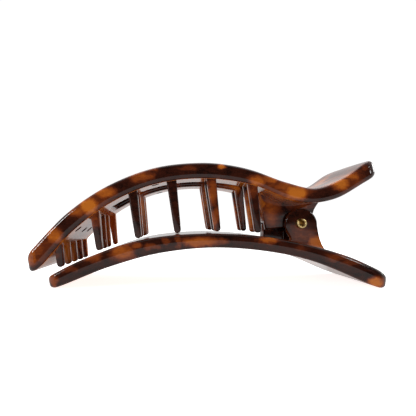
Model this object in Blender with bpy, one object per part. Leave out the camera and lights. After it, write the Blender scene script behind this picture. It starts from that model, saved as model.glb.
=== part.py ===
"""Claw hair clip of the flat kind, closed, standing on the two ends of its lower jaw.

Metres, +Z up, +X from the jaws' front towards the handles, +Y across the clip.
The origin is on the surface that the clip stands on, under the middle of the clip.
Sizes below are in millimetres and become metres where a mesh is made.
"""
import math

import bmesh
import bpy
from mathutils import Matrix, Vector

MM = 0.001

# Both jaws
WIDTH = 35.0
RIM_ROUNDING = 0.9
CORNER_RADIUS = 3.5
END_BLEND = 11.0
FRONT_BOW = 0.4
CURVE_STEPS = 4
RIM_STEPS = 2

# Side outline of the upper jaw, (X, Z), from the front end along the top to the handle's end
UPPER_TOP = (
    (-56.85, 8.3),
    (-56.1, 10.1),
    (-53.6, 13.0),
    (-43.1, 23.65),
    (-30.7, 31.95),
    (-16.0, 37.55),
    (-1.5, 39.1),
    (7.0, 38.4),
    (14.4, 36.75),
    (24.5, 33.1),
    (34.0, 31.2),
    (43.3, 34.6),
    (49.6, 38.9),
    (52.2, 40.5),
    (54.0, 41.1),
    (55.6, 40.4),
)
# Underside of the upper jaw, from the handle's end back to the front end
UPPER_UNDERSIDE = (
    (56.5, 38.2),
    (55.7, 36.3),
    (49.9, 33.0),
    (41.2, 28.2),
    (33.0, 26.6),
    (26.0, 27.5),
    (14.4, 32.2),
    (-2.1, 34.2),
    (-17.5, 32.0),
    (-30.8, 26.0),
    (-42.2, 17.3),
    (-52.6, 6.0),
    (-55.0, 4.9),
    (-56.2, 5.8),
)
# The upper handle narrows from one place to the other, by this much on each side, and has a bowed end
TAPER_START_X = 28.0
TAPER_END_X = 53.0
UPPER_TAPER = 2.1
UPPER_HANDLE_BOW = 2.0

# Side outline of the lower jaw, (X, Z), from the front end along the top to the handle's end
LOWER_TOP = (
    (-50.2, 2.2),
    (-49.4, 3.6),
    (-39.0, 8.8),
    (-20.4, 15.1),
    (1.0, 17.1),
    (22.7, 15.4),
    (43.3, 10.25),
    (54.5, 5.4),
    (56.9, 4.4),
    (57.85, 3.1),
)
# Underside of the lower jaw, from the handle's end back to the front end
LOWER_UNDERSIDE = (
    (57.75, 1.0),
    (56.6, 0.12),
    (54.4, 0.14),
    (51.6, 0.9),
    (30.9, 9.1),
    (6.1, 12.6),
    (-14.2, 11.0),
    (-30.7, 6.5),
    (-47.4, 0.14),
    (-48.7, 0.1),
    (-49.9, 0.9),
)
LOWER_HANDLE_BOW = 1.2

# Window in the upper jaw
WINDOW_FRONT_X = -32.2
WINDOW_BACK_X = 18.0
WINDOW_HALF_WIDTH = 6.6
WINDOW_CORNER = 1.5
WINDOW_TOOL_Z = (15.0, 45.0)

# Teeth. Each row has its tip's place along X, the gap that it leaves over the lower jaw, the widths of a
# tooth at its root and its tip, and the teeth between the outer ones, which may stand a little further on.
TOOTH_ROWS = (
    {"tip_x": -45.7, "gap": 0.4, "inner_shift": 0.0, "widths": (2.7, 2.1), "inner": (-7.35, 0, 7.35)},
    {"tip_x": -33.6, "gap": 0.4, "inner_shift": -1.3, "widths": (3.0, 1.9), "inner": (-7.35, 0, 7.35)},
    {"tip_x": -21.3, "gap": 0.4, "inner_shift": 0.0, "widths": (3.1, 2.1), "inner": (-7.9, 7.9)},
    {"tip_x": -8.9, "gap": 0.4, "inner_shift": 0.0, "widths": (3.3, 2.2), "inner": (-7.9, 7.9)},
    {"tip_x": 3.6, "gap": 0.6, "inner_shift": 0.0, "widths": (3.2, 2.1), "inner": (-7.9, 7.9)},
    {"tip_x": 16.4, "gap": 0.9, "inner_shift": 0.0, "widths": (3.2, 2.1), "inner": (-7.9, 7.9)},
)
TOOTH_OUTER_Y = 14.7
TOOTH_DEPTH = 2.4
TOOTH_EDGE = 0.35
TOOTH_LEAN_DEG = 7.0
TOOTH_ROOT_SINK = 2.2

# Hinge
PIN_X = 32.7
PIN_Z = 20.2
PIN_RADIUS = 1.62
PIN_WALL = 0.66
PIN_SLOT_WIDTH = 0.95
PIN_SLOT_ANGLE_DEG = 121.0
PIN_PROTRUSION = 1.4
PIN_EDGE = 0.12
RUNNING_GAP = 0.3
EAR_OUTER_Y = 4.9
EAR_THICKNESS = 2.0
EAR_BOSS_RADIUS = 4.0
EAR_EDGE = 0.3
LUG_THICKNESS = 2.0
LUG_RADIUS = 5.4
LUG_CENTRE = (32.95, 19.85)
BLOCK_FRONT_X = 21.3
BLOCK_BACK_X = 28.4
BLOCK_FOOT_Z = 13.0
BLOCK_TOP_Z = 20.1
BORE_OVERRUN = 1.0

# Side outline of an upper ear, apart from its boss: down its slanted front, and back up behind the boss
EAR_FRONT = ((18.4, 32.2), (21.0, 20.7), (21.4, 18.1), (28.2, 18.8))
EAR_BACK = ((37.5, 21.8), (38.0, 24.2), (38.9, 26.0), (40.6, 28.4), (38.4, 30.0), (28.0, 30.2))
# Foot of a lower lug, below its round head
LUG_FOOT = ((29.4, 15.0), (28.6, 12.4), (42.0, 9.4), (40.8, 11.8), (39.2, 15.4), (38.7, 17.6))
# Side outline of the wall that joins the ears at their front, and how far it runs into them
FRONT_WALL = ((18.6, 31.4), (20.95, 20.9), (21.2, 20.4), (22.7, 20.4), (20.4, 31.4))
FRONT_WALL_OVERLAP = 1.5

# Torsion spring
WIRE_RADIUS = 0.4
COIL_RADIUS = 2.55
COIL_PITCH = 1.1
COIL_TURNS = 4.5
COIL_STEPS_PER_TURN = 14
LOWER_LEG_REACH_X = 38.2
UPPER_LEG_REACH_X = 37.4
LEG_BEND = (1.6, 0.25)


def clear_scene():
    """Start from an empty scene."""
    for old in list(bpy.data.objects):
        bpy.data.objects.remove(old, do_unlink=True)


def new_collection(name):
    """A collection in the scene."""
    collection = bpy.data.collections.new(name)
    bpy.context.scene.collection.children.link(collection)
    return collection


def principled(name, colour, roughness, metallic):
    """A plain Principled BSDF material."""
    material = bpy.data.materials.new(name)
    material.use_nodes = True
    shader = material.node_tree.nodes["Principled BSDF"]
    shader.inputs["Base Color"].default_value = (*colour, 1.0)
    shader.inputs["Roughness"].default_value = roughness
    shader.inputs["Metallic"].default_value = metallic
    return material


def arc(centre, radius, start_deg, end_deg, steps):
    """Points on an arc in the XZ plane, both ends included."""
    points = []
    for index in range(steps + 1):
        angle = math.radians(start_deg + (end_deg - start_deg) * index / steps)
        points.append((centre[0] + radius * math.cos(angle), centre[1] + radius * math.sin(angle)))
    return points


def blend_point(a, b, start, end, at):
    """Point between a and b, as at lies between start and end."""
    share = (at - start) / (end - start)
    return a + (b - a) * share


def smooth_loop(points):
    """Closed centripetal Catmull-Rom curve through the points, CURVE_STEPS points to a span."""
    loop = [Vector(point) for point in points]
    count = len(loop)
    line = []
    for index in range(count):
        span = [loop[(index + offset) % count] for offset in (-1, 0, 1, 2)]
        knots = [0.0]
        for a, b in zip(span, span[1:]):
            knots.append(knots[-1] + math.sqrt((b - a).length))
        for step in range(CURVE_STEPS):
            at = knots[1] + (knots[2] - knots[1]) * step / CURVE_STEPS
            first = [blend_point(span[i], span[i + 1], knots[i], knots[i + 1], at) for i in range(3)]
            second = [blend_point(first[i], first[i + 1], knots[i], knots[i + 2], at) for i in range(2)]
            point = blend_point(second[0], second[1], knots[1], knots[2], at)
            line.append((point.x, point.y))
    return line


def height_on(line, x, top):
    """Height at x of a closed outline, on its top or its underside."""
    heights = []
    for (x0, z0), (x1, z1) in zip(line, line[1:] + line[:1]):
        if min(x0, x1) <= x <= max(x0, x1) and x0 != x1:
            heights.append(z0 + (z1 - z0) * (x - x0) / (x1 - x0))
    return max(heights) if top else min(heights)


def flat_curve(name, outline, half_depth):
    """A filled 2D curve with some depth."""
    curve = bpy.data.curves.new(name, "CURVE")
    curve.dimensions = "2D"
    curve.fill_mode = "BOTH"
    curve.extrude = half_depth * MM
    spline = curve.splines.new("POLY")
    spline.points.add(len(outline) - 1)
    for point, (across, along) in zip(spline.points, outline):
        point.co = (across * MM, along * MM, 0.0, 1.0)
    spline.use_cyclic_u = True
    return curve


def prism(name, outline, depth, edge, y=0.0):
    """Closed mesh of an XZ outline carried across Y, with its rims chamfered by edge."""
    curve = flat_curve(name, outline, depth / 2 - edge)
    curve.bevel_depth = edge * MM
    curve.bevel_resolution = 0
    curve.offset = -edge * MM
    upright = Matrix.Rotation(math.pi / 2, 4, "X")
    return curve_to_mesh(curve, Matrix.Translation((0.0, y * MM, 0.0)) @ upright)


def curve_to_mesh(curve, placement):
    """The curve's evaluated mesh, welded and moved to its place."""
    holder = bpy.data.objects.new(curve.name, curve)
    bpy.context.scene.collection.objects.link(holder)
    graph = bpy.context.evaluated_depsgraph_get()
    mesh = bpy.data.meshes.new_from_object(holder.evaluated_get(graph))
    bpy.data.objects.remove(holder, do_unlink=True)
    form = bmesh.new()
    form.from_mesh(mesh)
    bmesh.ops.remove_doubles(form, verts=form.verts, dist=0.00001)
    bmesh.ops.transform(form, matrix=placement, verts=form.verts)
    bmesh.ops.recalc_face_normals(form, faces=form.faces)
    form.to_mesh(mesh)
    form.free()
    return mesh


def place(name, mesh, collection, material=None):
    """An object for the mesh."""
    thing = bpy.data.objects.new(name, mesh)
    collection.objects.link(thing)
    if material:
        mesh.materials.clear()
        mesh.materials.append(material)
    return thing


def as_tool(thing):
    """Mark an object as one that only shapes others."""
    thing.hide_render = True
    thing.display_type = "WIRE"
    return thing


def combine(target, tool, operation):
    """Join, cut or trim the target with the tool."""
    modifier = target.modifiers.new(f"{operation.lower()} {tool.name}", "BOOLEAN")
    modifier.operation = operation
    modifier.object = tool
    modifier.solver = "EXACT"


def jaw_sections():
    """Places across the jaw, from -Y to +Y: (y, inset of the outline, pull of its ends)."""
    half = WIDTH / 2
    corner_start = half - CORNER_RADIUS
    places = [(y, 0.0) for y in (0.0, corner_start / 2, corner_start, corner_start + 0.5 * CORNER_RADIUS)]
    for step in range(RIM_STEPS + 1):
        angle = math.pi / 2 * step / RIM_STEPS
        y = half - RIM_ROUNDING * (1 - math.sin(angle))
        places.append((y, RIM_ROUNDING * (1 - math.cos(angle))))
    sections = []
    for y, inset in places:
        into_corner = max(0.0, y - corner_start) / CORNER_RADIUS
        pull = CORNER_RADIUS * (1 - math.sqrt(max(0.0, 1 - into_corner**2)))
        sections.append((y, inset, pull))
    mirrored = [(-y, inset, pull) for y, inset, pull in reversed(sections[1:])]
    return mirrored + sections


def end_weight(distance):
    """How far an end's pull carries: 1 at the end, 0 from END_BLEND inwards."""
    share = min(1.0, max(0.0, distance / END_BLEND))
    return 1 - share * share * (3 - 2 * share)


def narrowing(x, taper):
    """How much narrower than the clip the jaw is at x, on each side."""
    share = min(max((x - TAPER_START_X) / (TAPER_END_X - TAPER_START_X), 0.0), 1.0)
    return taper * share * share * (3 - 2 * share)


def jaw_section_points(loop, ends, taper, section):
    """The outline at one place across the jaw, inset by the rim and pulled in at the ends."""
    y, inset, pull = section
    count = len(loop)
    bow_share = (2 * y / WIDTH) ** 2
    points = []
    for index, (x, z) in enumerate(loop):
        before = Vector(loop[index - 1])
        after = Vector(loop[(index + 1) % count])
        along = (after - before).normalized()
        point = Vector((x, z)) + inset * Vector((along.y, -along.x))
        for end, inwards, bow in ends:
            reach = (point - end).dot(inwards)
            point += inwards * (pull + bow * bow_share) * end_weight(reach)
        across = y * (1 - 2 * narrowing(point.x, taper) / WIDTH)
        points.append(Vector((point.x, across, point.y)) * MM)
    return points


def jaw_plate(name, top, underside, handle_bow, taper):
    """Closed mesh of a jaw's plate: its outline lofted across Y, with round rims and corners."""
    loop = smooth_loop(top + underside)
    front_side = Vector(top[2]) - Vector(top[1])
    back_side = Vector(underside[2]) - Vector(underside[1])
    front = (Vector(top[0]), front_side.normalized(), FRONT_BOW)
    back = (Vector(underside[0]), back_side.normalized(), handle_bow)
    form = bmesh.new()
    rings = []
    for section in jaw_sections():
        points = jaw_section_points(loop, (front, back), taper, section)
        rings.append([form.verts.new(point) for point in points])
    count = len(loop)
    for ring, following in zip(rings, rings[1:]):
        for index in range(count):
            after = (index + 1) % count
            form.faces.new((ring[index], ring[after], following[after], following[index]))
    form.faces.new(rings[0])
    form.faces.new(rings[-1])
    bmesh.ops.recalc_face_normals(form, faces=form.faces)
    mesh = bpy.data.meshes.new(name)
    form.to_mesh(mesh)
    form.free()
    return mesh


def upright_prism(name, outline, reach_z, collection):
    """A tool with an XY outline that runs straight up from one height to another."""
    low_z, high_z = reach_z
    curve = flat_curve(name, outline, (high_z - low_z) / 2)
    mesh = curve_to_mesh(curve, Matrix.Translation((0.0, 0.0, (low_z + high_z) / 2 * MM)))
    return as_tool(place(name, mesh, collection))


def box_tool(name, low, high, collection):
    """A plain box between two corners."""
    form = bmesh.new()
    bmesh.ops.create_cube(form, size=1.0)
    size = [(b - a) * MM for a, b in zip(low, high)]
    middle = [(a + b) / 2 * MM for a, b in zip(low, high)]
    bmesh.ops.scale(form, vec=size, verts=form.verts)
    bmesh.ops.translate(form, vec=middle, verts=form.verts)
    mesh = bpy.data.meshes.new(name)
    form.to_mesh(mesh)
    form.free()
    return as_tool(place(name, mesh, collection))


def bore_tool(name, radius, reach_y, collection):
    """A round bar on the hinge axis."""
    form = bmesh.new()
    bmesh.ops.create_cone(
        form,
        cap_ends=True,
        segments=24,
        radius1=radius * MM,
        radius2=radius * MM,
        depth=2 * reach_y * MM,
        matrix=Matrix.Translation((PIN_X * MM, 0.0, PIN_Z * MM)) @ Matrix.Rotation(math.pi / 2, 4, "X"),
    )
    mesh = bpy.data.meshes.new(name)
    form.to_mesh(mesh)
    form.free()
    return as_tool(place(name, mesh, collection))


def tooth_mesh(tip_x, y, gap, widths):
    """One tapered tooth with a round tip, from inside the upper plate to just over the lower jaw."""
    lean = math.radians(TOOTH_LEAN_DEG)
    lower = smooth_loop(LOWER_TOP + LOWER_UNDERSIDE)
    upper = smooth_loop(UPPER_TOP + UPPER_UNDERSIDE)
    root_half, tip_half = (width / 2 for width in widths)
    tip_z = max(height_on(lower, tip_x + reach, True) for reach in (-tip_half, 0.0, tip_half)) + gap
    root_z = height_on(upper, tip_x, False)
    for _ in range(4):
        root_x = tip_x - math.tan(lean) * (root_z - tip_z)
        root_z = height_on(upper, root_x, False) + TOOTH_ROOT_SINK
    length = (root_z - tip_z) / math.cos(lean)
    outline = [(-root_half, length), *arc((0.0, tip_half), tip_half, 180, 360, 6), (root_half, length)]
    turned = []
    for across, along in outline:
        x = tip_x + across * math.cos(lean) - along * math.sin(lean)
        z = tip_z + across * math.sin(lean) + along * math.cos(lean)
        turned.append((x, z))
    return prism("tooth", turned, TOOTH_DEPTH, TOOTH_EDGE, y=y)


def teeth_tool(collection):
    """All the teeth in one mesh."""
    form = bmesh.new()
    for row in TOOTH_ROWS:
        places = [(row["tip_x"], -TOOTH_OUTER_Y), (row["tip_x"], TOOTH_OUTER_Y)]
        places += [(row["tip_x"] + row["inner_shift"], y) for y in row["inner"]]
        for tip_x, y in places:
            mesh = tooth_mesh(tip_x, y, row["gap"], row["widths"])
            form.from_mesh(mesh)
            bpy.data.meshes.remove(mesh)
    mesh = bpy.data.meshes.new("teeth")
    form.to_mesh(mesh)
    form.free()
    return as_tool(place("teeth", mesh, collection))


def ear_outline():
    """Side outline of an upper ear: slanted front, level foot, boss round the pin, hollow back."""
    return [*EAR_FRONT, *arc((PIN_X, PIN_Z), EAR_BOSS_RADIUS, 205, 350, 8), *EAR_BACK]


def lug_outline():
    """Side outline of a lower lug: a round head, and a foot that flares into the plate."""
    return [*arc(LUG_CENTRE, LUG_RADIUS, 0, 213, 14), *LUG_FOOT]


def window_outline():
    """Plan of the window in the upper jaw, with round corners."""
    front = WINDOW_FRONT_X + WINDOW_CORNER
    back = WINDOW_BACK_X - WINDOW_CORNER
    side = WINDOW_HALF_WIDTH - WINDOW_CORNER
    outline = arc((back, -side), WINDOW_CORNER, -90, 0, 3)
    outline += arc((back, side), WINDOW_CORNER, 0, 90, 3)
    outline += arc((front, side), WINDOW_CORNER, 90, 180, 3)
    outline += arc((front, -side), WINDOW_CORNER, 180, 270, 3)
    return outline


def pin_outline():
    """Section of the split roll pin."""
    half_slot = math.degrees(math.asin(PIN_SLOT_WIDTH / 2 / PIN_RADIUS))
    inner_radius = PIN_RADIUS - PIN_WALL
    inner_half_slot = math.degrees(math.asin(PIN_SLOT_WIDTH / 2 / inner_radius))
    centre = (PIN_X, PIN_Z)
    start = PIN_SLOT_ANGLE_DEG
    outer = arc(centre, PIN_RADIUS, start + half_slot, start + 360 - half_slot, 20)
    inner = arc(centre, inner_radius, start + 360 - inner_half_slot, start + inner_half_slot, 14)
    return outer + inner


def make_upper_jaw(collection, tools, material):
    """Upper plate, window, teeth, ears and the wall between the ears."""
    plate = jaw_plate("upper_jaw", UPPER_TOP, UPPER_UNDERSIDE, UPPER_HANDLE_BOW, UPPER_TAPER)
    jaw = place("upper_jaw", plate, collection, material)
    window = upright_prism("window", window_outline(), WINDOW_TOOL_Z, tools)
    combine(jaw, window, "DIFFERENCE")
    combine(jaw, teeth_tool(tools), "UNION")
    for side in (-1, 1):
        y = side * (EAR_OUTER_Y - EAR_THICKNESS / 2)
        ear = place(f"ear_{side}", prism("ear", ear_outline(), EAR_THICKNESS, EAR_EDGE, y=y), tools)
        combine(jaw, as_tool(ear), "UNION")
    wall_width = 2 * (EAR_OUTER_Y - EAR_THICKNESS + FRONT_WALL_OVERLAP)
    wall = place("front_wall", prism("front_wall", FRONT_WALL, wall_width, 0.0), tools)
    combine(jaw, as_tool(wall), "UNION")
    bore = bore_tool("upper_bore", PIN_RADIUS + RUNNING_GAP, EAR_OUTER_Y + BORE_OVERRUN, tools)
    combine(jaw, bore, "DIFFERENCE")
    return jaw


def make_lower_jaw(collection, tools, material):
    """Lower plate, lugs and the low block between the ears."""
    plate = jaw_plate("lower_jaw", LOWER_TOP, LOWER_UNDERSIDE, LOWER_HANDLE_BOW, 0.0)
    jaw = place("lower_jaw", plate, collection, material)
    lug_inner_y = EAR_OUTER_Y + RUNNING_GAP
    for side in (-1, 1):
        y = side * (lug_inner_y + LUG_THICKNESS / 2)
        lug = place(f"lug_{side}", prism("lug", lug_outline(), LUG_THICKNESS, EAR_EDGE, y=y), tools)
        combine(jaw, as_tool(lug), "UNION")
    half = EAR_OUTER_Y - EAR_THICKNESS - RUNNING_GAP
    low = (BLOCK_FRONT_X, -half, BLOCK_FOOT_Z)
    high = (BLOCK_BACK_X, half, BLOCK_TOP_Z)
    combine(jaw, box_tool("block", low, high, tools), "UNION")
    reach = lug_inner_y + LUG_THICKNESS + BORE_OVERRUN
    combine(jaw, bore_tool("lower_bore", PIN_RADIUS + RUNNING_GAP, reach, tools), "DIFFERENCE")
    return jaw


def make_pin(collection, material):
    """Split roll pin through the four ears."""
    length = 2 * (EAR_OUTER_Y + RUNNING_GAP + LUG_THICKNESS + PIN_PROTRUSION)
    return place("hinge_pin", prism("hinge_pin", pin_outline(), length, PIN_EDGE), collection, material)


def spring_path():
    """Lower leg, coil round the pin, upper leg."""
    half_run = COIL_TURNS * COIL_PITCH / 2
    lower = smooth_loop(LOWER_TOP + LOWER_UNDERSIDE)
    upper = smooth_loop(UPPER_TOP + UPPER_UNDERSIDE)
    clearance = RUNNING_GAP + 1.5 * WIRE_RADIUS
    lower_z = height_on(lower, LOWER_LEG_REACH_X, True) + clearance
    upper_z = height_on(upper, UPPER_LEG_REACH_X, False) - clearance
    bend_x = PIN_X + LEG_BEND[0]
    bend_reach = COIL_RADIUS + LEG_BEND[1]
    points = [(LOWER_LEG_REACH_X, -half_run, lower_z), (bend_x, -half_run, PIN_Z - bend_reach)]
    steps = round(COIL_TURNS * COIL_STEPS_PER_TURN)
    for index in range(steps + 1):
        share = index / steps
        angle = math.radians(-90 - 360 * COIL_TURNS * share)
        x = PIN_X + COIL_RADIUS * math.cos(angle)
        z = PIN_Z + COIL_RADIUS * math.sin(angle)
        points.append((x, -half_run + 2 * half_run * share, z))
    points += [(bend_x, half_run, PIN_Z + bend_reach), (UPPER_LEG_REACH_X, half_run, upper_z)]
    return points


def make_spring(collection, material):
    """Torsion spring of round wire."""
    curve = bpy.data.curves.new("torsion_spring", "CURVE")
    curve.dimensions = "3D"
    curve.bevel_depth = WIRE_RADIUS * MM
    curve.bevel_resolution = 2
    curve.use_fill_caps = True
    points = spring_path()
    spline = curve.splines.new("POLY")
    spline.points.add(len(points) - 1)
    for point, place_mm in zip(spline.points, points):
        point.co = (*(Vector(place_mm) * MM), 1.0)
    mesh = curve_to_mesh(curve, Matrix.Identity(4))
    mesh.shade_smooth()
    return place("torsion_spring", mesh, collection, material)


def main():
    """Build the clip."""
    clear_scene()
    clip = new_collection("hair_clip")
    tools = new_collection("tools")
    shell = principled("tortoiseshell", (0.16, 0.05, 0.02), 0.12, 0.0)
    gold = principled("gold", (0.78, 0.58, 0.25), 0.25, 1.0)
    steel = principled("spring_steel", (0.55, 0.53, 0.5), 0.3, 1.0)
    make_upper_jaw(clip, tools, shell)
    make_lower_jaw(clip, tools, shell)
    make_pin(clip, gold)
    make_spring(clip, steel)


main()
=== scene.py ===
"""Looks of the tortoiseshell hair clip: fine moulded jaws, split gold pin, wire spring, studio and camera.

Sizes are in millimetres and become metres where a mesh is made. +X runs from the jaws' front to the
handles, +Y across the clip, +Z up.
"""
import math

import bmesh
import bpy
from mathutils import Matrix, Vector

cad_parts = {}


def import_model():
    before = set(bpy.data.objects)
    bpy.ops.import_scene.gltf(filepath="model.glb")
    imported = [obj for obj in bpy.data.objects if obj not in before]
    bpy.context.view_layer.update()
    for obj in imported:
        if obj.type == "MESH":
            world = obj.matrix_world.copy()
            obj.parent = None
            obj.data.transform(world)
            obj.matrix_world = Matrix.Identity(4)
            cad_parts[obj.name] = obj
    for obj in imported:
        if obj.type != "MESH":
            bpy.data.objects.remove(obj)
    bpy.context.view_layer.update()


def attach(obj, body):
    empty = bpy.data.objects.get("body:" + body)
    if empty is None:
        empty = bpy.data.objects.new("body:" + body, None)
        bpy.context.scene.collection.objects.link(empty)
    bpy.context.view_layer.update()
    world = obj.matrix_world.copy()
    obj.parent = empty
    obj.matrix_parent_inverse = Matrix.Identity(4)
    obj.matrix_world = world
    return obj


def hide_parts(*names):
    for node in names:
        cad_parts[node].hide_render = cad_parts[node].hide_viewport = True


MM = 0.001

# Both jaws. A level is a height from the middle of the flat moulding, before it is bent
WIDTH = 35.0
NOMINAL_THICKNESS = 4.4
CORNER_RADIUS = 3.5
RIM_ROUNDING = 1.0
SIDE_LEVEL = 1.17
DRAFT_DEG = 5.0
UPPER_PARTING = -1.0
LOWER_PARTING = 0.1
RIDGE = 0.03
RIDGE_REACH = 0.16

# The upper handle narrows from one place to the other, by this much on each side
TAPER_START_X = 28.0
TAPER_END_X = 53.0
UPPER_TAPER = 2.1

# Close to a handle's end, what lies above its middle falls by up to this share
NOSE_REACH = 3.0
NOSE_FALL = 0.35

# Fineness of the meshes
LINE_STEPS = 24
SLICE = 1.0
RIM_STEPS = 5
CORNER_STEPS = 10
WINDOW_CORNER_STEPS = 6
TOOTH_TIP_STEPS = 14

# Upper jaw, (X, Z), both lines from the front end to the handle's end
UPPER_TOP = (
    (-56.8, 9.3),
    (-53.6, 13.0),
    (-43.1, 23.65),
    (-30.7, 31.95),
    (-16.0, 37.55),
    (-1.5, 39.1),
    (7.0, 38.4),
    (14.4, 36.75),
    (24.5, 33.1),
    (34.0, 31.2),
    (43.3, 34.6),
    (49.6, 38.9),
    (52.2, 40.4),
    (53.9, 40.9),
    (55.4, 40.6),
)
UPPER_UNDERSIDE = (
    (-56.0, 4.6),
    (-52.6, 6.0),
    (-42.2, 17.3),
    (-30.8, 26.0),
    (-17.5, 32.0),
    (-2.1, 34.2),
    (14.4, 32.2),
    (26.0, 27.5),
    (33.0, 26.6),
    (41.2, 28.2),
    (49.9, 33.0),
    (56.1, 36.7),
)
UPPER_FRONT_BOW = 0.4
UPPER_BACK_BOW = 2.0

# Lower jaw, (X, Z), both lines from the front end to the handle's end
LOWER_TOP = (
    (-50.3, 3.1),
    (-48.4, 4.1),
    (-39.0, 8.8),
    (-20.4, 15.1),
    (1.0, 17.1),
    (22.7, 15.4),
    (43.3, 10.25),
    (54.5, 5.4),
    (58.0, 3.95),
)
LOWER_UNDERSIDE = (
    (-49.6, 0.0),
    (-47.4, 0.1),
    (-30.7, 6.5),
    (-14.2, 11.0),
    (6.1, 12.6),
    (30.9, 9.1),
    (51.6, 0.9),
    (54.4, 0.1),
    (57.7, 0.0),
)
LOWER_FRONT_BOW = 0.4
LOWER_BACK_BOW = 1.2

# Window in the upper jaw
WINDOW_FRONT_X = -32.2
WINDOW_BACK_X = 18.0
WINDOW_HALF_WIDTH = 6.6
WINDOW_CORNER = 1.8

# Teeth, as the frame has them
TOOTH_ROWS = (
    {"tip_x": -45.7, "gap": 0.4, "inner_shift": 0.0, "widths": (2.7, 2.1), "inner": (-7.35, 0.0, 7.35)},
    {"tip_x": -33.6, "gap": 0.4, "inner_shift": -1.3, "widths": (3.0, 1.9), "inner": (-7.35, 0.0, 7.35)},
    {"tip_x": -21.3, "gap": 0.4, "inner_shift": 0.0, "widths": (3.1, 2.1), "inner": (-7.9, 7.9)},
    {"tip_x": -8.9, "gap": 0.4, "inner_shift": 0.0, "widths": (3.3, 2.2), "inner": (-7.9, 7.9)},
    {"tip_x": 3.6, "gap": 0.6, "inner_shift": 0.0, "widths": (3.2, 2.1), "inner": (-7.9, 7.9)},
    {"tip_x": 16.4, "gap": 0.9, "inner_shift": 0.0, "widths": (3.2, 2.1), "inner": (-7.9, 7.9)},
)
TOOTH_OUTER_Y = 14.7
TOOTH_DEPTH = 2.4
TOOTH_EDGE = 0.5
TOOTH_LEAN_DEG = 7.0
TOOTH_ROOT_SINK = 2.2

# Round marks of the mould's ejector pins under the upper jaw: X and distance from the middle
PIN_MARKS = ((-41.0, 12.4), (-41.4, 3.4), (-16.0, 14.4))
PIN_MARK_RADIUS = 1.3
PIN_MARK_DEPTH = 0.25

# Hinge, as the frame has it
PIN_X = 32.7
PIN_Z = 20.2
PIN_RADIUS = 1.62
PIN_WALL = 0.66
PIN_SLOT_WIDTH = 0.95
PIN_SLOT_ANGLE_DEG = 121.0
PIN_PROTRUSION = 1.4
PIN_EDGE = 0.22
RUNNING_GAP = 0.3
BORE_CLEARANCE = 0.12
BORE_OVERRUN = 1.0
EAR_OUTER_Y = 4.9
EAR_THICKNESS = 2.0
EAR_BOSS_RADIUS = 4.0
EAR_EDGE = 0.45
LUG_THICKNESS = 2.0
LUG_RADIUS = 5.4
LUG_CENTRE = (32.95, 19.85)
BLOCK_FRONT_X = 21.3
BLOCK_BACK_X = 28.4
BLOCK_FOOT_Z = 13.4
BLOCK_TOP_Z = 20.1
BLOCK_EDGE = 0.3

# Side outlines at the hinge, (X, Z): the ear before and after its boss, the lug's foot after its round
# head, and the wall in front of the ears
EAR_FRONT = ((18.4, 32.2), (21.0, 20.7), (21.4, 18.1), (28.2, 18.8))
EAR_BACK = (
    (37.4, 21.4),
    (37.7, 23.2),
    (38.3, 25.0),
    (39.2, 26.5),
    (40.6, 28.4),
    (38.4, 30.0),
    (28.0, 30.2),
)
LUG_FOOT = (
    (29.4, 15.0),
    (28.6, 12.4),
    (42.0, 9.4),
    (41.1, 11.2),
    (40.0, 13.1),
    (39.2, 15.2),
    (38.7, 17.6),
)
FRONT_WALL = ((18.6, 31.4), (20.95, 20.9), (21.2, 20.4), (22.7, 20.4), (20.4, 31.4))
FRONT_WALL_INSET = 0.5
FRONT_WALL_EDGE = 0.15

# Torsion spring, with how far behind the pin and outside the coil its legs start
WIRE_RADIUS = 0.4
COIL_RADIUS = 2.55
COIL_PITCH = 1.1
COIL_TURNS = 4.5
LOWER_TURNS = 3.0
COIL_STEPS_PER_TURN = 32
LEG_REACH_X = 38.2
UPPER_LEG_SHORTER = 0.8
LEG_START_BACK = 1.6
LEG_START_CLEAR = 0.25

# Photograph's frame and the camera's place in it
FRAME_PX = 416
FOCAL_PX = 341.0
VANISH_X_PX = 175.0
VANISH_Y_PX = 222.8
CAMERA_MM = (-9.8, -122.5, 20.4)
SENSOR_MM = 36.0

# Room: its brightness on the camera's side and elsewhere, where along Y it turns, and the backdrop's
ROOM_DARK = 0.03
ROOM_BRIGHT = 0.69
ROOM_TURN = (-0.75, -0.1)
BACKDROP = 1.05

# Floor: its glow and its white, each as the clip gets it and as the camera sees it
FLOOR_HALF = 6000.0
FLOOR_DROP = 0.1
FLOOR_GLOW = 0.5
FLOOR_GLOW_TO_CAMERA = 0.86
FLOOR_WHITE = 0.25
FLOOR_WHITE_TO_CAMERA = 0.8

# Lamps: name, place and size in metres, and power. All aim at one place
LAMP_TARGET = (0.0, 0.0, 0.02)
LAMPS = (
    ("top", (0.0, 0.3, 0.8), (1.0, 0.6), 3.0),
    ("left", (-0.75, -0.6, 0.38), (0.12, 0.3), 3.4),
    ("right", (0.85, 0.3, 0.35), (0.22, 0.3), 2.0),
    ("front", (0.68, -0.58, 0.42), (0.1, 0.1), 0.7),
)


def blend_point(a, b, start, end, at):
    """Point between a and b, as at lies between start and end."""
    return a + (b - a) * ((at - start) / (end - start))


def smooth_line(points):
    """Centripetal Catmull-Rom curve through the points, open at both ends."""
    path = [Vector(point) for point in points]
    path = [2 * path[0] - path[1], *path, 2 * path[-1] - path[-2]]
    line = []
    for index in range(len(path) - 3):
        span = path[index : index + 4]
        knots = [0.0]
        for a, b in zip(span, span[1:]):
            knots.append(knots[-1] + math.sqrt((b - a).length))
        for step in range(LINE_STEPS):
            at = knots[1] + (knots[2] - knots[1]) * step / LINE_STEPS
            first = [blend_point(span[i], span[i + 1], knots[i], knots[i + 1], at) for i in range(3)]
            second = [blend_point(first[i], first[i + 1], knots[i], knots[i + 2], at) for i in range(2)]
            line.append(blend_point(second[0], second[1], knots[1], knots[2], at))
    line.append(path[-2])
    return line


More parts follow.
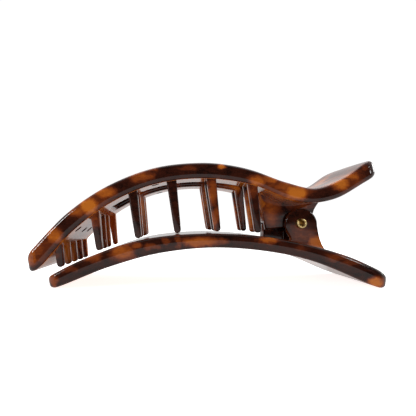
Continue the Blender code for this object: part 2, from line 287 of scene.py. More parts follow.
class Rail:
    """A smooth line that is read by its length, from 0 at its start to 1 at its end."""

    def __init__(self, points):
        self.line = smooth_line(points)
        self.marks = [0.0]
        for a, b in zip(self.line, self.line[1:]):
            self.marks.append(self.marks[-1] + (b - a).length)
        self.length = self.marks[-1]

    def at(self, share):
        """Point at a share of the length."""
        target = min(max(share, 0.0), 1.0) * self.length
        low, high = 0, len(self.marks) - 1
        while high - low > 1:
            middle = (low + high) // 2
            if self.marks[middle] <= target:
                low = middle
            else:
                high = middle
        return blend_point(self.line[low], self.line[high], self.marks[low], self.marks[high], target)

    def height(self, x):
        """Height of the line at x."""
        for a, b in zip(self.line, self.line[1:]):
            if a.x <= x <= b.x:
                return blend_point(a.y, b.y, a.x, b.x, x)
        raise ValueError("x lies outside the line")


def arc(centre, radius, start_deg, end_deg, steps):
    """Points on an arc, both ends included."""
    points = []
    for index in range(steps + 1):
        angle = math.radians(start_deg + (end_deg - start_deg) * index / steps)
        points.append((centre[0] + radius * math.cos(angle), centre[1] + radius * math.sin(angle)))
    return points


def flat_curve(name, outlines, half_depth, edge, edge_steps):
    """A filled 2D curve with rounded rims. An outline that runs clockwise is a hole."""
    curve = bpy.data.curves.new(name, "CURVE")
    curve.dimensions = "2D"
    curve.fill_mode = "BOTH"
    curve.extrude = half_depth - edge
    curve.bevel_depth = edge
    curve.bevel_resolution = edge_steps - 1
    curve.offset = -edge
    for outline in outlines:
        spline = curve.splines.new("POLY")
        spline.points.add(len(outline) - 1)
        for point, (across, along) in zip(spline.points, outline):
            point.co = (across, along, 0.0, 1.0)
        spline.use_cyclic_u = True
    return curve


def curve_form(curve):
    """The curve's evaluated mesh as a welded bmesh, in millimetres."""
    holder = bpy.data.objects.new(curve.name, curve)
    bpy.context.scene.collection.objects.link(holder)
    graph = bpy.context.evaluated_depsgraph_get()
    mesh = bpy.data.meshes.new_from_object(holder.evaluated_get(graph))
    bpy.data.objects.remove(holder, do_unlink=True)
    form = bmesh.new()
    form.from_mesh(mesh)
    bpy.data.meshes.remove(mesh)
    bmesh.ops.remove_doubles(form, verts=form.verts, dist=0.002)
    return form


def form_object(name, form):
    """An object in metres for a bmesh in millimetres."""
    bmesh.ops.scale(form, vec=(MM, MM, MM), verts=form.verts)
    bmesh.ops.recalc_face_normals(form, faces=form.faces)
    mesh = bpy.data.meshes.new(name)
    form.to_mesh(mesh)
    form.free()
    thing = bpy.data.objects.new(name, mesh)
    bpy.context.scene.collection.objects.link(thing)
    return thing


def shade(mesh, sharp_deg):
    """Shade a mesh smooth, apart from edges sharper than an angle."""
    mesh.shade_smooth()
    mesh.set_sharp_from_angle(angle=math.radians(sharp_deg))


def end_outline(bow):
    """Half an end's plan, from the side's straight run to the middle: (back from the end, across)."""
    half = WIDTH / 2
    inner = half - CORNER_RADIUS
    turn = math.atan(2 * bow / half)
    centre = bow + CORNER_RADIUS * math.cos(turn)
    points = []
    for step in range(CORNER_STEPS + 1):
        angle = math.pi / 2 - (math.pi / 2 - turn) * step / CORNER_STEPS
        back = centre - CORNER_RADIUS * math.cos(angle)
        points.append((back, inner + CORNER_RADIUS * math.sin(angle)))
    reach = points[-1][1]
    points += [(bow * share**2, reach * share) for share in (0.75, 0.5, 0.25)]
    return points


def plate_outline(length, front_bow, back_bow):
    """Plan of a jaw before it is bent: (along, across), counter-clockwise."""
    back = end_outline(back_bow)
    front = end_outline(front_bow)
    points = [(length - inset, -across) for inset, across in back]
    points.append((length, 0.0))
    points += [(length - inset, across) for inset, across in reversed(back)]
    points += [(inset, across) for inset, across in front]
    points.append((0.0, 0.0))
    points += [(inset, -across) for inset, across in reversed(front)]
    return points


def window_outline(front, back):
    """Plan of the window before the plate is bent, clockwise."""
    half = WINDOW_HALF_WIDTH
    inner = half - WINDOW_CORNER
    corners = (
        (front + WINDOW_CORNER, -inner, 270),
        (front + WINDOW_CORNER, inner, 180),
        (back - WINDOW_CORNER, inner, 90),
        (back - WINDOW_CORNER, -inner, 0),
    )
    points = []
    for along, across, start_deg in corners:
        points += arc((along, across), WINDOW_CORNER, start_deg, start_deg - 90, WINDOW_CORNER_STEPS)
    return points


def share_at_x(top, underside, x):
    """Share of the length at which the plate's middle passes x."""
    low, high = 0.0, 1.0
    for _ in range(30):
        middle = (low + high) / 2
        if (top.at(middle).x + underside.at(middle).x) / 2 < x:
            low = middle
        else:
            high = middle
    return low


def half_width(x, level, parting, taper):
    """Half of a jaw's width: narrower towards the handle, and drafted both ways from the parting."""
    share = min(max((x - TAPER_START_X) / (TAPER_END_X - TAPER_START_X), 0.0), 1.0)
    away = abs(level - parting)
    draft = math.tan(math.radians(DRAFT_DEG)) * away + RIDGE * min(away / RIDGE_REACH, 1.0)
    return WIDTH / 2 - taper * share * share * (3 - 2 * share) - draft


def end_back(across, bow):
    """How far the end's outline lies back from the middle's, at a place across."""
    half = WIDTH / 2
    corner = max(abs(across) - half + CORNER_RADIUS, 0.0) / CORNER_RADIUS
    return bow * (across / half) ** 2 + CORNER_RADIUS * (1 - math.sqrt(max(1 - corner * corner, 0.0)))


def bent_plate(name, top, underside, bows, parting, taper=0.0, window=None):
    """A jaw's plate: a flat moulding with round rims, sliced and bent to the side outline."""
    length = (top.length + underside.length) / 2
    outlines = [plate_outline(length, *bows)]
    if window:
        front, back = (share_at_x(top, underside, x) * length for x in window)
        outlines.append(window_outline(front, back))
    form = curve_form(flat_curve(name, outlines, NOMINAL_THICKNESS / 2, RIM_ROUNDING, RIM_STEPS))
    cuts = [((SLICE * index, 0.0, 0.0), (1.0, 0.0, 0.0)) for index in range(1, int(length / SLICE) + 1)]
    levels = (-SIDE_LEVEL, parting - RIDGE_REACH, parting, parting + RIDGE_REACH, SIDE_LEVEL)
    cuts += [((0.0, 0.0, level), (0.0, 0.0, 1.0)) for level in levels]
    for place, normal in cuts:
        everything = list(form.verts) + list(form.edges) + list(form.faces)
        bmesh.ops.bisect_plane(form, geom=everything, dist=0.0001, plane_co=place, plane_no=normal)
    for vert in form.verts:
        along, across, level = vert.co
        share = level / NOMINAL_THICKNESS
        near_end = max(1 - (length - along - end_back(across, bows[1])) / NOSE_REACH, 0.0)
        share -= NOSE_FALL * min(near_end, 1.0) ** 2 * max(share, 0.0)
        low = underside.at(along / length)
        high = top.at(along / length)
        point = low + (high - low) * (share + 0.5)
        vert.co = (point.x, across * half_width(point.x, level, parting, taper) * 2 / WIDTH, point.y)
    return form_object(name, form)


def prism(name, outline, depth, edge, edge_steps=3, y=0.0):
    """Closed form of an XZ outline carried across Y, with rounded rims."""
    form = curve_form(flat_curve(name, [outline], depth / 2, edge, edge_steps))
    upright = Matrix.Translation((0.0, y, 0.0)) @ Matrix.Rotation(math.pi / 2, 4, "X")
    bmesh.ops.transform(form, matrix=upright, verts=form.verts)
    return form_object(name, form)


def rounded_box(name, low, high, edge):
    """A box with rounded edges."""
    form = bmesh.new()
    bmesh.ops.create_cube(form, size=1.0)
    bmesh.ops.scale(form, vec=[b - a for a, b in zip(low, high)], verts=form.verts)
    bmesh.ops.translate(form, vec=[(a + b) / 2 for a, b in zip(low, high)], verts=form.verts)
    bmesh.ops.bevel(form, geom=form.edges, offset=edge, segments=3, profile=0.5, affect="EDGES")
    return form_object(name, form)


def bore_bar(name, radius, reach):
    """A round bar on the hinge axis."""
    form = bmesh.new()
    place = Matrix.Translation((PIN_X, 0.0, PIN_Z)) @ Matrix.Rotation(math.pi / 2, 4, "X")
    bmesh.ops.create_cone(
        form, cap_ends=True, segments=48, radius1=radius, radius2=radius, depth=2 * reach, matrix=place
    )
    return form_object(name, form)


def apply_tools(target, tools):
    """Join or cut the target with each tool, keep the result in its mesh, and remove the tools."""
    for tool, operation in tools:
        modifier = target.modifiers.new(operation.lower(), "BOOLEAN")
        modifier.operation = operation
        modifier.object = tool
        modifier.solver = "EXACT"
    graph = bpy.context.evaluated_depsgraph_get()
    mesh = bpy.data.meshes.new_from_object(target.evaluated_get(graph))
    target.modifiers.clear()
    old = target.data
    target.data = mesh
    mesh.name = target.name
    bpy.data.meshes.remove(old)
    for tool, _ in tools:
        bpy.data.objects.remove(tool, do_unlink=True)
    shade(mesh, 38)


def tooth(tip_x, y, gap, widths, upper_underside, lower_top):
    """One tapered tooth with a round tip."""
    lean = math.radians(TOOTH_LEAN_DEG)
    root_half, tip_half = (width / 2 for width in widths)
    tip_z = max(lower_top.height(tip_x + reach) for reach in (-tip_half, 0.0, tip_half)) + gap
    root_z = upper_underside.height(tip_x)
    for _ in range(4):
        root_x = tip_x - math.tan(lean) * (root_z - tip_z)
        root_z = upper_underside.height(root_x) + TOOTH_ROOT_SINK
    length = (root_z - tip_z) / math.cos(lean)
    tip = arc((0.0, tip_half), tip_half, 180, 360, TOOTH_TIP_STEPS)
    outline = [(-root_half, length), *tip, (root_half, length)]
    turned = []
    for across, along in outline:
        x = tip_x + across * math.cos(lean) - along * math.sin(lean)
        z = tip_z + across * math.sin(lean) + along * math.cos(lean)
        turned.append((x, z))
    return prism("tooth", turned, TOOTH_DEPTH, TOOTH_EDGE, 3, y)


def all_teeth(upper_underside, lower_top):
    """Every tooth, joined into one object."""
    teeth = []
    for row in TOOTH_ROWS:
        places = [(row["tip_x"], -TOOTH_OUTER_Y), (row["tip_x"], TOOTH_OUTER_Y)]
        places += [(row["tip_x"] + row["inner_shift"], y) for y in row["inner"]]
        for tip_x, y in places:
            teeth.append(tooth(tip_x, y, row["gap"], row["widths"], upper_underside, lower_top))
    joined = bmesh.new()
    for one in teeth:
        joined.from_mesh(one.data)
        bpy.data.objects.remove(one, do_unlink=True)
    mesh = bpy.data.meshes.new("teeth")
    joined.to_mesh(mesh)
    joined.free()
    thing = bpy.data.objects.new("teeth", mesh)
    bpy.context.scene.collection.objects.link(thing)
    return thing


def ear_outline():
    """Side outline of an upper ear."""
    return [*EAR_FRONT, *arc((PIN_X, PIN_Z), EAR_BOSS_RADIUS, 205, 350, 20), *EAR_BACK]


def lug_outline():
    """Side outline of a lower lug."""
    return [*arc(LUG_CENTRE, LUG_RADIUS, 0, 213, 40), *LUG_FOOT]


def pin_mark(x, y, underside):
    """A short bar that sinks a round mark into the underside."""
    slope = math.atan2(underside.height(x + 0.5) - underside.height(x - 0.5), 1.0)
    centre = Vector((x, y, underside.height(x)))
    form = bmesh.new()
    bmesh.ops.create_cone(
        form,
        cap_ends=True,
        segments=32,
        radius1=PIN_MARK_RADIUS,
        radius2=PIN_MARK_RADIUS,
        depth=2 * PIN_MARK_DEPTH,
        matrix=Matrix.Translation(centre) @ Matrix.Rotation(-slope, 4, "Y"),
    )
    return form_object("pin_mark", form)


def make_upper(lines):
    """Upper jaw: plate with its window, teeth, ears and the wall between the ears."""
    window = (WINDOW_FRONT_X, WINDOW_BACK_X)
    bows = (UPPER_FRONT_BOW, UPPER_BACK_BOW)
    rails = (lines["upper_top"], lines["upper_underside"])
    jaw = bent_plate("upper_jaw_shell", *rails, bows, UPPER_PARTING, UPPER_TAPER, window)
    tools = [(all_teeth(lines["upper_underside"], lines["lower_top"]), "UNION")]
    for side in (-1, 1):
        y = side * (EAR_OUTER_Y - EAR_THICKNESS / 2)
        tools.append((prism("ear", ear_outline(), EAR_THICKNESS, EAR_EDGE, 3, y), "UNION"))
    wall_width = 2 * (EAR_OUTER_Y - FRONT_WALL_INSET)
    tools.append((prism("front_wall", FRONT_WALL, wall_width, FRONT_WALL_EDGE, 1), "UNION"))
    for x, y in PIN_MARKS:
        for side in (-1, 1):
            tools.append((pin_mark(x, side * y, lines["upper_underside"]), "DIFFERENCE"))
    reach = EAR_OUTER_Y + BORE_OVERRUN
    tools.append((bore_bar("upper_bore", PIN_RADIUS + BORE_CLEARANCE, reach), "DIFFERENCE"))
    apply_tools(jaw, tools)
    return jaw


def make_lower(lines):
    """Lower jaw: plate, lugs and the low block between the ears."""
    bows = (LOWER_FRONT_BOW, LOWER_BACK_BOW)
    jaw = bent_plate("lower_jaw_shell", lines["lower_top"], lines["lower_underside"], bows, LOWER_PARTING)
    inner_y = EAR_OUTER_Y + RUNNING_GAP
    tools = []
    for side in (-1, 1):
        y = side * (inner_y + LUG_THICKNESS / 2)
        tools.append((prism("lug", lug_outline(), LUG_THICKNESS, EAR_EDGE, 4, y), "UNION"))
    half = EAR_OUTER_Y - EAR_THICKNESS - RUNNING_GAP
    low = (BLOCK_FRONT_X, -half, BLOCK_FOOT_Z)
    high = (BLOCK_BACK_X, half, BLOCK_TOP_Z)
    tools.append((rounded_box("block", low, high, BLOCK_EDGE), "UNION"))
    reach = inner_y + LUG_THICKNESS + BORE_OVERRUN
    tools.append((bore_bar("lower_bore", PIN_RADIUS + BORE_CLEARANCE, reach), "DIFFERENCE"))
    apply_tools(jaw, tools)
    return jaw


def make_pin():
    """Split roll pin: a rolled strip with a slot along its length."""
    inner_radius = PIN_RADIUS - PIN_WALL
    half_slot = math.degrees(math.asin(PIN_SLOT_WIDTH / 2 / PIN_RADIUS))
    inner_half_slot = math.degrees(math.asin(PIN_SLOT_WIDTH / 2 / inner_radius))
    centre = (PIN_X, PIN_Z)
    start = PIN_SLOT_ANGLE_DEG
    outline = arc(centre, PIN_RADIUS, start + half_slot, start + 360 - half_slot, 48)
    outline += arc(centre, inner_radius, start + 360 - inner_half_slot, start + inner_half_slot, 36)
    length = 2 * (EAR_OUTER_Y + RUNNING_GAP + LUG_THICKNESS + PIN_PROTRUSION)
    pin = prism("split_pin", outline, length, PIN_EDGE, 4)
    shade(pin.data, 40)
    return pin


def coil_points(start_turn, end_turn):
    """Points of the coil between two turns, counted from the lower leg."""
    half_run = COIL_TURNS * COIL_PITCH / 2
    steps = round((end_turn - start_turn) * COIL_STEPS_PER_TURN)
    points = []
    for index in range(steps + 1):
        turn = start_turn + (end_turn - start_turn) * index / steps
        angle = math.radians(-90 - 360 * turn)
        x = PIN_X + COIL_RADIUS * math.cos(angle)
        z = PIN_Z + COIL_RADIUS * math.sin(angle)
        points.append((x, -half_run + COIL_PITCH * turn, z))
    return points


def wire(name, points):
    """Round wire through the points."""
    curve = bpy.data.curves.new(name, "CURVE")
    curve.dimensions = "3D"
    curve.bevel_depth = WIRE_RADIUS
    curve.bevel_resolution = 4
    curve.use_fill_caps = True
    spline = curve.splines.new("POLY")
    spline.points.add(len(points) - 1)
    for point, place in zip(spline.points, points):
        point.co = (*place, 1.0)
    thing = form_object(name, curve_form(curve))
    shade(thing.data, 50)
    return thing


def make_spring(lines):
    """The spring in two pieces that meet in the coil, so that each leg stays on its own jaw."""
    half_run = COIL_TURNS * COIL_PITCH / 2
    clearance = RUNNING_GAP + 1.5 * WIRE_RADIUS
    upper_reach_x = LEG_REACH_X - UPPER_LEG_SHORTER
    lower_z = lines["lower_top"].height(LEG_REACH_X) + clearance
    upper_z = lines["upper_underside"].height(upper_reach_x) - clearance
    start_x = PIN_X + LEG_START_BACK
    start_off = COIL_RADIUS + LEG_START_CLEAR
    lower = [(LEG_REACH_X, -half_run, lower_z), (start_x, -half_run, PIN_Z - start_off)]
    lower += coil_points(0.0, LOWER_TURNS)
    upper = coil_points(LOWER_TURNS, COIL_TURNS)
    upper += [(start_x, half_run, PIN_Z + start_off), (upper_reach_x, half_run, upper_z)]
    return wire("spring_coil", lower), wire("spring_upper_leg", upper)


class Shader:
    """A short way to build a node material."""

    def __init__(self, name):
        self.material = bpy.data.materials.new(name)
        self.material.use_nodes = True
        self.tree = self.material.node_tree
        self.surface = self.tree.nodes["Principled BSDF"]

    def node(self, kind, links=(), values=(), **settings):
        """Add a node, set its properties and values, and link its inputs."""
        made = self.tree.nodes.new(kind)
        for key, value in settings.items():
            setattr(made, key, value)
        for key, value in values:
            made.inputs[key].default_value = value
        for key, source in links:
            self.tree.links.new(source, made.inputs[key])
        return made

    def combine(self, kind, operation, inputs):
        """Outputs of a math or vector math node on sockets and fixed values."""
        made = self.node(kind, operation=operation)
        for socket, value in zip(made.inputs, inputs):
            if isinstance(value, bpy.types.NodeSocket):
                self.tree.links.new(value, socket)
            else:
                socket.default_value = value
        return made.outputs

    def math(self, operation, *inputs):
        """A math node's result."""
        return self.combine("ShaderNodeMath", operation, inputs)["Value"]

    def vector(self, operation, *inputs):
        """A vector math node's result."""
        return self.combine("ShaderNodeVectorMath", operation, inputs)["Vector"]

    def noise(self, place, scale, detail, roughness=0.5, output="Fac"):
        """A noise texture's output."""
        values = [("Scale", scale), ("Detail", detail), ("Roughness", roughness)]
        return self.node("ShaderNodeTexNoise", [("Vector", place)], values).outputs[output]

    def spread(self, value, low, high, to_low, to_high, interpolation="SMOOTHSTEP"):
        """A value moved from one range to another and kept within the new range."""
        values = [("From Min", low), ("From Max", high), ("To Min", to_low), ("To Max", to_high)]
        made = self.node("ShaderNodeMapRange", [("Value", value)], values, interpolation_type=interpolation)
        return made.outputs["Result"]

    def ramp(self, factor, stops):
        """A colour ramp with (position, colour) stops."""
        made = self.node("ShaderNodeValToRGB", [("Fac", factor)])
        made.color_ramp.interpolation = "EASE"
        while len(made.color_ramp.elements) < len(stops):
            made.color_ramp.elements.new(0.5)
        for element, (position, colour) in zip(made.color_ramp.elements, stops):
            element.position = position
            element.color = (*colour, 1.0)
        return made.outputs["Color"]

    def place(self):
        """A point's own coordinates, in metres."""
        return self.node("ShaderNodeTexCoord").outputs["Object"]

    def finish(self, links, values):
        """Link and set the surface's inputs, and give the material."""
        for key, source in links:
            self.tree.links.new(source, self.surface.inputs[key])
        for key, value in values:
            self.surface.inputs[key].default_value = value
        return self.material


# Tortoiseshell: dark to amber, and the patches' soft edge as a share of their reach
TORTOISESHELL_STOPS = (
    (0.0, (0.014, 0.0040, 0.0026)),
    (0.2, (0.045, 0.0095, 0.0045)),
    (0.4, (0.125, 0.0240, 0.0070)),
    (0.6, (0.260, 0.0540, 0.0100)),
    (0.8, (0.430, 0.1020, 0.0130)),
    (1.0, (0.620, 0.1720, 0.0190)),
)
PATCH_OUTER = 1.6
PATCH_INNER = 0.4

# Its noises: scale of each, how far the drift moves a place, and the strength of streaks and mottle
DRIFT_SCALE = 240.0
DRIFT = (0.0055, 0.004, 0.003)
CLOUD_SCALE = 85.0
STREAK_SCALE = 800.0
STREAK_STRETCH = (0.3, 1.0, 1.0)
STREAK_TILT = (0.0, 0.1, 0.0)
STREAK_STRENGTH = 0.5
MOTTLE_SCALE = 330.0
MOTTLE_STRENGTH = 0.34

# Metals, between two tones
GOLD_STOPS = ((0.3, (0.80, 0.56, 0.20)), (0.7, (0.98, 0.80, 0.42)))
STEEL_STOPS = ((0.3, (0.30, 0.27, 0.23)), (0.7, (0.50, 0.47, 0.42)))

# Amber patches on the jaws' near sides: X, Z, reach along X and along Z, and strength
UPPER_PATCHES = (
    (-51.5, 12.5, 5.0, 5.0, 0.30),
    (-37.0, 26.5, 8.5, 4.5, 0.34),
    (25.0, 31.5, 8.0, 3.6, 0.36),
    (43.5, 34.0, 6.5, 3.4, 0.36),
    (-54.1, 10.2, 1.8, 3.1, 0.55),
    (-51.4, 12.3, 2.2, 2.5, 0.38),
    (-47.1, 16.3, 2.6, 2.6, 0.74),
    (-40.6, 24.0, 2.2, 1.8, 0.62),
    (-37.0, 25.6, 3.3, 2.6, 0.92),
    (-31.6, 29.6, 2.9, 1.7, 0.70),
    (-20.9, 35.1, 3.8, 2.2, 0.55),
    (-17.2, 37.3, 1.5, 0.9, 0.35),
    (-6.1, 37.3, 2.8, 0.9, 0.25),
    (4.7, 38.0, 1.8, 0.9, 0.78),
    (15.8, 33.3, 2.5, 1.8, 0.72),
    (19.8, 33.9, 3.2, 1.2, 0.58),
    (24.1, 31.7, 2.8, 1.3, 0.52),
    (27.8, 29.6, 4.0, 2.3, 0.88),
    (23.1, 29.0, 2.5, 1.2, 0.40),
    (41.9, 32.7, 3.8, 1.8, 0.82),
    (45.9, 35.1, 2.8, 1.2, 0.66),
    (49.6, 37.6, 1.2, 1.2, 0.30),
)
LOWER_PATCHES = (
    (-47.7, 2.8, 1.6, 2.6, 0.50),
    (-42.7, 5.9, 2.5, 1.2, 0.28),
    (-35.4, 10.2, 3.5, 1.8, 0.50),
    (-25.8, 11.4, 3.8, 2.8, 0.60),
    (-21.8, 13.6, 1.8, 0.9, 0.50),
    (-16.9, 12.9, 2.2, 0.9, 0.35),
    (-12.9, 15.1, 1.8, 0.9, 0.35),
    (-8.9, 14.2, 0.9, 1.9, 0.40),
    (-2.1, 14.5, 5.5, 1.6, 0.68),
    (4.7, 14.5, 2.2, 1.0, 0.40),
    (18.8, 15.1, 2.8, 1.0, 0.72),
    (28.7, 12.6, 3.1, 1.0, 0.20),
    (39.8, 9.9, 3.8, 1.3, 0.35),
    (44.7, 8.3, 3.1, 1.0, 0.30),
    (53.0, 1.9, 2.3, 1.9, 0.85),
)
# Amber patches on the teeth, the ears and their front wall, on the teeth partly the shell's pattern and
# partly painted glow of light through the thin teeth: X, Y, Z, reach along each, and strength
INNER_PATCHES = (
    (-48.0, -14.7, 13.0, 1.6, 3.0, 3.0, 0.60),
    (-46.5, -7.35, 11.0, 3.5, 3.4, 6.0, 0.98),
    (-46.5, 0.0, 11.0, 3.5, 3.4, 6.0, 1.12),
    (-47.4, 7.35, 11.0, 1.3, 3.4, 5.0, 0.72),
    (-46.5, 14.7, 11.0, 3.5, 3.4, 6.0, 0.62),
    (-35.6, -14.7, 21.5, 2.6, 3.0, 3.0, 0.52),
    (-36.4, -7.35, 17.0, 1.4, 3.4, 7.0, 0.50),
    (-36.0, 0.0, 17.0, 3.4, 3.4, 9.0, 0.55),
    (-35.6, 7.35, 17.0, 3.0, 3.4, 9.0, 0.98),
    (-34.5, 14.7, 17.0, 3.4, 3.4, 9.0, 1.10),
    (-22.5, -7.9, 22.0, 3.4, 3.4, 10.0, 0.55),
    (-22.5, 7.9, 22.0, 3.4, 3.4, 10.0, 1.0),
    (-22.5, 14.7, 22.0, 3.4, 3.4, 10.0, 1.0),
    (2.4, -14.7, 30.0, 2.0, 3.0, 4.5, 0.50),
    (2.8, -14.7, 21.0, 1.6, 3.0, 4.5, 0.50),
    (2.4, 7.9, 25.0, 3.4, 3.4, 11.0, 0.70),
    (2.4, 14.7, 25.0, 3.4, 3.4, 11.0, 1.05),
    (14.6, -14.7, 31.0, 2.4, 3.0, 3.0, 0.34),
    (15.4, -7.9, 25.0, 1.8, 3.4, 10.0, 0.74),
    (15.4, 7.9, 25.0, 2.4, 3.4, 8.0, 0.45),
    (16.0, 14.7, 25.0, 2.2, 3.4, 10.0, 0.82),
    (22.6, -4.9, 24.6, 3.6, 3.0, 5.5, 0.56),
    (19.4, -4.6, 25.0, 1.3, 4.0, 7.0, 0.95),
    (33.5, -4.9, 27.0, 5.0, 3.0, 2.4, 0.42),
)
LUG_PATCHES = (
    (38.3, -7.2, 12.6, 3.6, 3.0, 3.2, 0.95),
    (33.5, -7.2, 16.0, 5.0, 3.0, 4.6, 0.34),
    (22.5, -5.0, 17.5, 3.0, 4.0, 3.4, 0.30),
)
NEAR_Y = -17.5
NEAR_REACH_Y = 9.0


def near_patches(patches):
    """The patches on a near side, with their place and reach across the clip."""
    placed = []
    for x, z, reach_x, reach_z, strength in patches:
        placed.append((x, NEAR_Y, z, reach_x, NEAR_REACH_Y, reach_z, strength))
    return placed


def patch_field(shader, place, patches):
    """Largest strength of the amber patches at a place."""
    field = None
    for x, y, z, reach_x, reach_y, reach_z, strength in patches:
        offset = shader.vector("SUBTRACT", place, (x * MM, y * MM, z * MM))
        scaled = shader.vector("MULTIPLY", offset, (1 / reach_x / MM, 1 / reach_y / MM, 1 / reach_z / MM))
        length = shader.combine("ShaderNodeVectorMath", "LENGTH", (scaled,))["Value"]
        inside = shader.spread(length, PATCH_OUTER, PATCH_INNER, 0.0, strength)
        field = inside if field is None else shader.math("MAXIMUM", field, inside)
    return field


def drifted(shader, place):
    """The place, moved about by noise, so that what is laid out on it has ragged edges."""
    noise = shader.noise(place, DRIFT_SCALE, 4.0, 0.55, "Color")
    centred = shader.vector("SUBTRACT", noise, (0.5, 0.5, 0.5))
    return shader.vector("ADD", place, shader.vector("MULTIPLY", centred, DRIFT))


def painted_glow(shader, along):
    """Painted glow of light let through the plastic, laid on by which way a surface faces: amber on
    undersides, less at the hinge, more on rims and other faces turned from the sides, over a small even
    lift of the shell's tone.
    """
    normal = shader.node("ShaderNodeNewGeometry").outputs["Normal"]
    facing = shader.node("ShaderNodeSeparateXYZ", [("Vector", normal)]).outputs
    sideways = shader.math("ABSOLUTE", facing["Y"])
    # Painted glow on undersides, strongest away from the hinge
    down = shader.spread(facing["Z"], -0.2, -0.65, 0.0, 0.95)
    flat = shader.spread(sideways, 0.4, 0.1, 0.0, 1.0)
    open_end = shader.spread(along, 0.018, 0.008, 0.25, 1.0)
    under = shader.math("MULTIPLY", shader.math("MULTIPLY", down, flat), open_end)
    # Painted glow on faces turned from the sides, above a small even lift of the shell's tone
    return shader.math("ADD", under, shader.spread(sideways, 0.85, 0.15, 0.12, 0.38))


def tortoiseshell(name, patches):
    """Polished tortoiseshell: dark brown with amber clouds that have ragged, streaked edges, and painted
    glow of light through the plastic laid on by surface direction.
    """
    shader = Shader(name)
    place = shader.place()
    spot = shader.node("ShaderNodeSeparateXYZ", [("Vector", place)]).outputs
    moved = drifted(shader, place)
    far = shader.spread(spot["Y"], -0.012, 0.0, 0.0, 1.0)
    clouds = shader.spread(shader.noise(moved, CLOUD_SCALE, 2.0), 0.49, 0.69, 0.0, 0.85)
    clouded = shader.math("MULTIPLY", clouds, far)
    field = shader.math("MAXIMUM", patch_field(shader, moved, patches), clouded)
    stretch = [("Scale", STREAK_STRETCH), ("Rotation", STREAK_TILT)]
    stretched = shader.node("ShaderNodeMapping", [("Vector", place)], stretch).outputs[0]
    for noise, strength in (
        (shader.noise(stretched, STREAK_SCALE, 4.0, 0.7), STREAK_STRENGTH),
        (shader.noise(moved, MOTTLE_SCALE, 3.0, 0.6), MOTTLE_STRENGTH),
    ):
        change = shader.math("MULTIPLY", shader.math("SUBTRACT", noise, 0.5), strength)
        field = shader.math("ADD", field, change)
    # Painted glow of light through the plastic, added by which way each surface faces
    field = shader.math("ADD", field, painted_glow(shader, spot["X"]))
    colour = shader.ramp(field, TORTOISESHELL_STOPS)
    return shader.finish([("Base Color", colour)], [("Roughness", 0.08), ("IOR", 1.46)])


def gold():
    """Bright plated strip with faint rolling marks."""
    shader = Shader("plated_gold")
    stretch = [("Scale", (1.0, 0.12, 1.0))]
    stretched = shader.node("ShaderNodeMapping", [("Vector", shader.place())], stretch).outputs[0]
    marks = shader.noise(stretched, 1800.0, 3.0)
    rough = shader.spread(marks, 0.0, 1.0, 0.26, 0.42, "LINEAR")
    colour = shader.ramp(marks, GOLD_STOPS)
    return shader.finish([("Base Color", colour), ("Roughness", rough)], [("Metallic", 1.0)])


def spring_steel():
    """Drawn wire."""
    shader = Shader("drawn_wire")
    marks = shader.noise(shader.place(), 2500.0, 3.0)
    colour = shader.ramp(marks, STEEL_STOPS)
    return shader.finish([("Base Color", colour)], [("Metallic", 1.0), ("Roughness", 0.32)])


def dress(thing, material):
    """Give a piece its only material."""
    thing.data.materials.clear()
    thing.data.materials.append(material)


def make_camera():
    """The camera at the photograph's place: level, along +Y, with the frame shifted to its crop."""
    data = bpy.data.cameras.new("camera")
    data.sensor_width = SENSOR_MM
    data.lens = SENSOR_MM * FOCAL_PX / FRAME_PX
    data.shift_x = (FRAME_PX / 2 - VANISH_X_PX) / FRAME_PX
    data.shift_y = (VANISH_Y_PX - FRAME_PX / 2) / FRAME_PX
    data.clip_start = 0.01
    data.clip_end = 20.0
    camera = bpy.data.objects.new("camera", data)
    camera.location = Vector(CAMERA_MM) * MM
    camera.rotation_euler = (math.pi / 2, 0.0, 0.0)
    bpy.context.scene.collection.objects.link(camera)
    bpy.context.scene.camera = camera


def make_floor():
    """A white floor, lit from below as on a light table."""
    form = bmesh.new()
    bmesh.ops.create_grid(form, x_segments=1, y_segments=1, size=FLOOR_HALF)
    floor = form_object("floor", form)
    floor.location.z = -FLOOR_DROP * MM
    shader = Shader("floor")
    seen = shader.node("ShaderNodeLightPath").outputs["Is Camera Ray"]
    glow = shader.spread(seen, 0.0, 1.0, FLOOR_GLOW, FLOOR_GLOW_TO_CAMERA, "LINEAR")
    white = shader.spread(seen, 0.0, 1.0, FLOOR_WHITE, FLOOR_WHITE_TO_CAMERA, "LINEAR")
    links = [("Emission Strength", glow), ("Base Color", white)]
    plain = [("Roughness", 1.0), ("Specular IOR Level", 0.0), ("Emission Color", (1.0, 1.0, 1.0, 1.0))]
    dress(floor, shader.finish(links, plain))


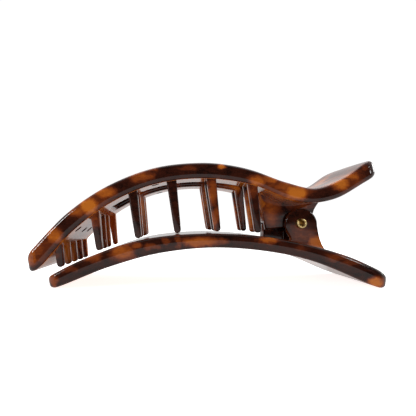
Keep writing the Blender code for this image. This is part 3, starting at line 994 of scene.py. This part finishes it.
def make_room():
    """A white room that is dark on the side the clip is seen from, as behind a studio camera."""
    world = bpy.data.worlds.new("studio")
    world.use_nodes = True
    bpy.context.scene.world = world
    tree = world.node_tree
    background = tree.nodes["Background"]
    direction = tree.nodes.new("ShaderNodeTexCoord")
    split = tree.nodes.new("ShaderNodeSeparateXYZ")
    tree.links.new(direction.outputs["Generated"], split.inputs[0])
    front = tree.nodes.new("ShaderNodeMapRange")
    front.interpolation_type = "SMOOTHSTEP"
    front.inputs["From Min"].default_value, front.inputs["From Max"].default_value = ROOM_TURN
    front.inputs["To Min"].default_value = ROOM_DARK
    front.inputs["To Max"].default_value = ROOM_BRIGHT
    tree.links.new(split.outputs["Y"], front.inputs["Value"])
    path = tree.nodes.new("ShaderNodeLightPath")
    mix = tree.nodes.new("ShaderNodeMix")
    mix.data_type = "FLOAT"
    tree.links.new(path.outputs["Is Camera Ray"], mix.inputs[0])
    tree.links.new(front.outputs["Result"], mix.inputs[2])
    mix.inputs[3].default_value = BACKDROP
    tree.links.new(mix.outputs[0], background.inputs["Strength"])
    background.inputs["Color"].default_value = (1.0, 1.0, 1.0, 1.0)
    bpy.context.scene.view_settings.view_transform = "Standard"


def make_lamps():
    """Soft rectangular lamps."""
    for name, place, size, power in LAMPS:
        data = bpy.data.lights.new(name, "AREA")
        data.shape = "RECTANGLE"
        data.size, data.size_y = size
        data.energy = power
        lamp = bpy.data.objects.new(name, data)
        lamp.location = place
        aim = Vector(LAMP_TARGET) - Vector(place)
        lamp.rotation_euler = aim.to_track_quat("-Z", "Y").to_euler()
        bpy.context.scene.collection.objects.link(lamp)


def main():
    """Load the frame and dress it."""
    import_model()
    make_camera()
    make_floor()
    make_room()
    make_lamps()
    lines = {
        "upper_top": Rail(UPPER_TOP),
        "upper_underside": Rail(UPPER_UNDERSIDE),
        "lower_top": Rail(LOWER_TOP),
        "lower_underside": Rail(LOWER_UNDERSIDE),
    }
    upper = make_upper(lines)
    lower = make_lower(lines)
    pin = make_pin()
    coil, leg = make_spring(lines)
    dress(upper, tortoiseshell("upper_tortoiseshell", [*near_patches(UPPER_PATCHES), *INNER_PATCHES]))
    dress(lower, tortoiseshell("lower_tortoiseshell", [*near_patches(LOWER_PATCHES), *LUG_PATCHES]))
    dress(pin, gold())
    steel = spring_steel()
    for piece in (coil, leg):
        dress(piece, steel)
    for piece, body, node, slot in (
        (upper, "upper", "upper_jaw", "upper_shell"),
        (lower, "lower", "lower_jaw", "lower_shell"),
        (pin, "lower", "hinge_pin", "pin_gold"),
        (coil, "lower", "torsion_spring", "spring_steel"),
        (leg, "upper", "torsion_spring", "spring_steel"),
    ):
        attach(piece, body)
        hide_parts(node)


main()
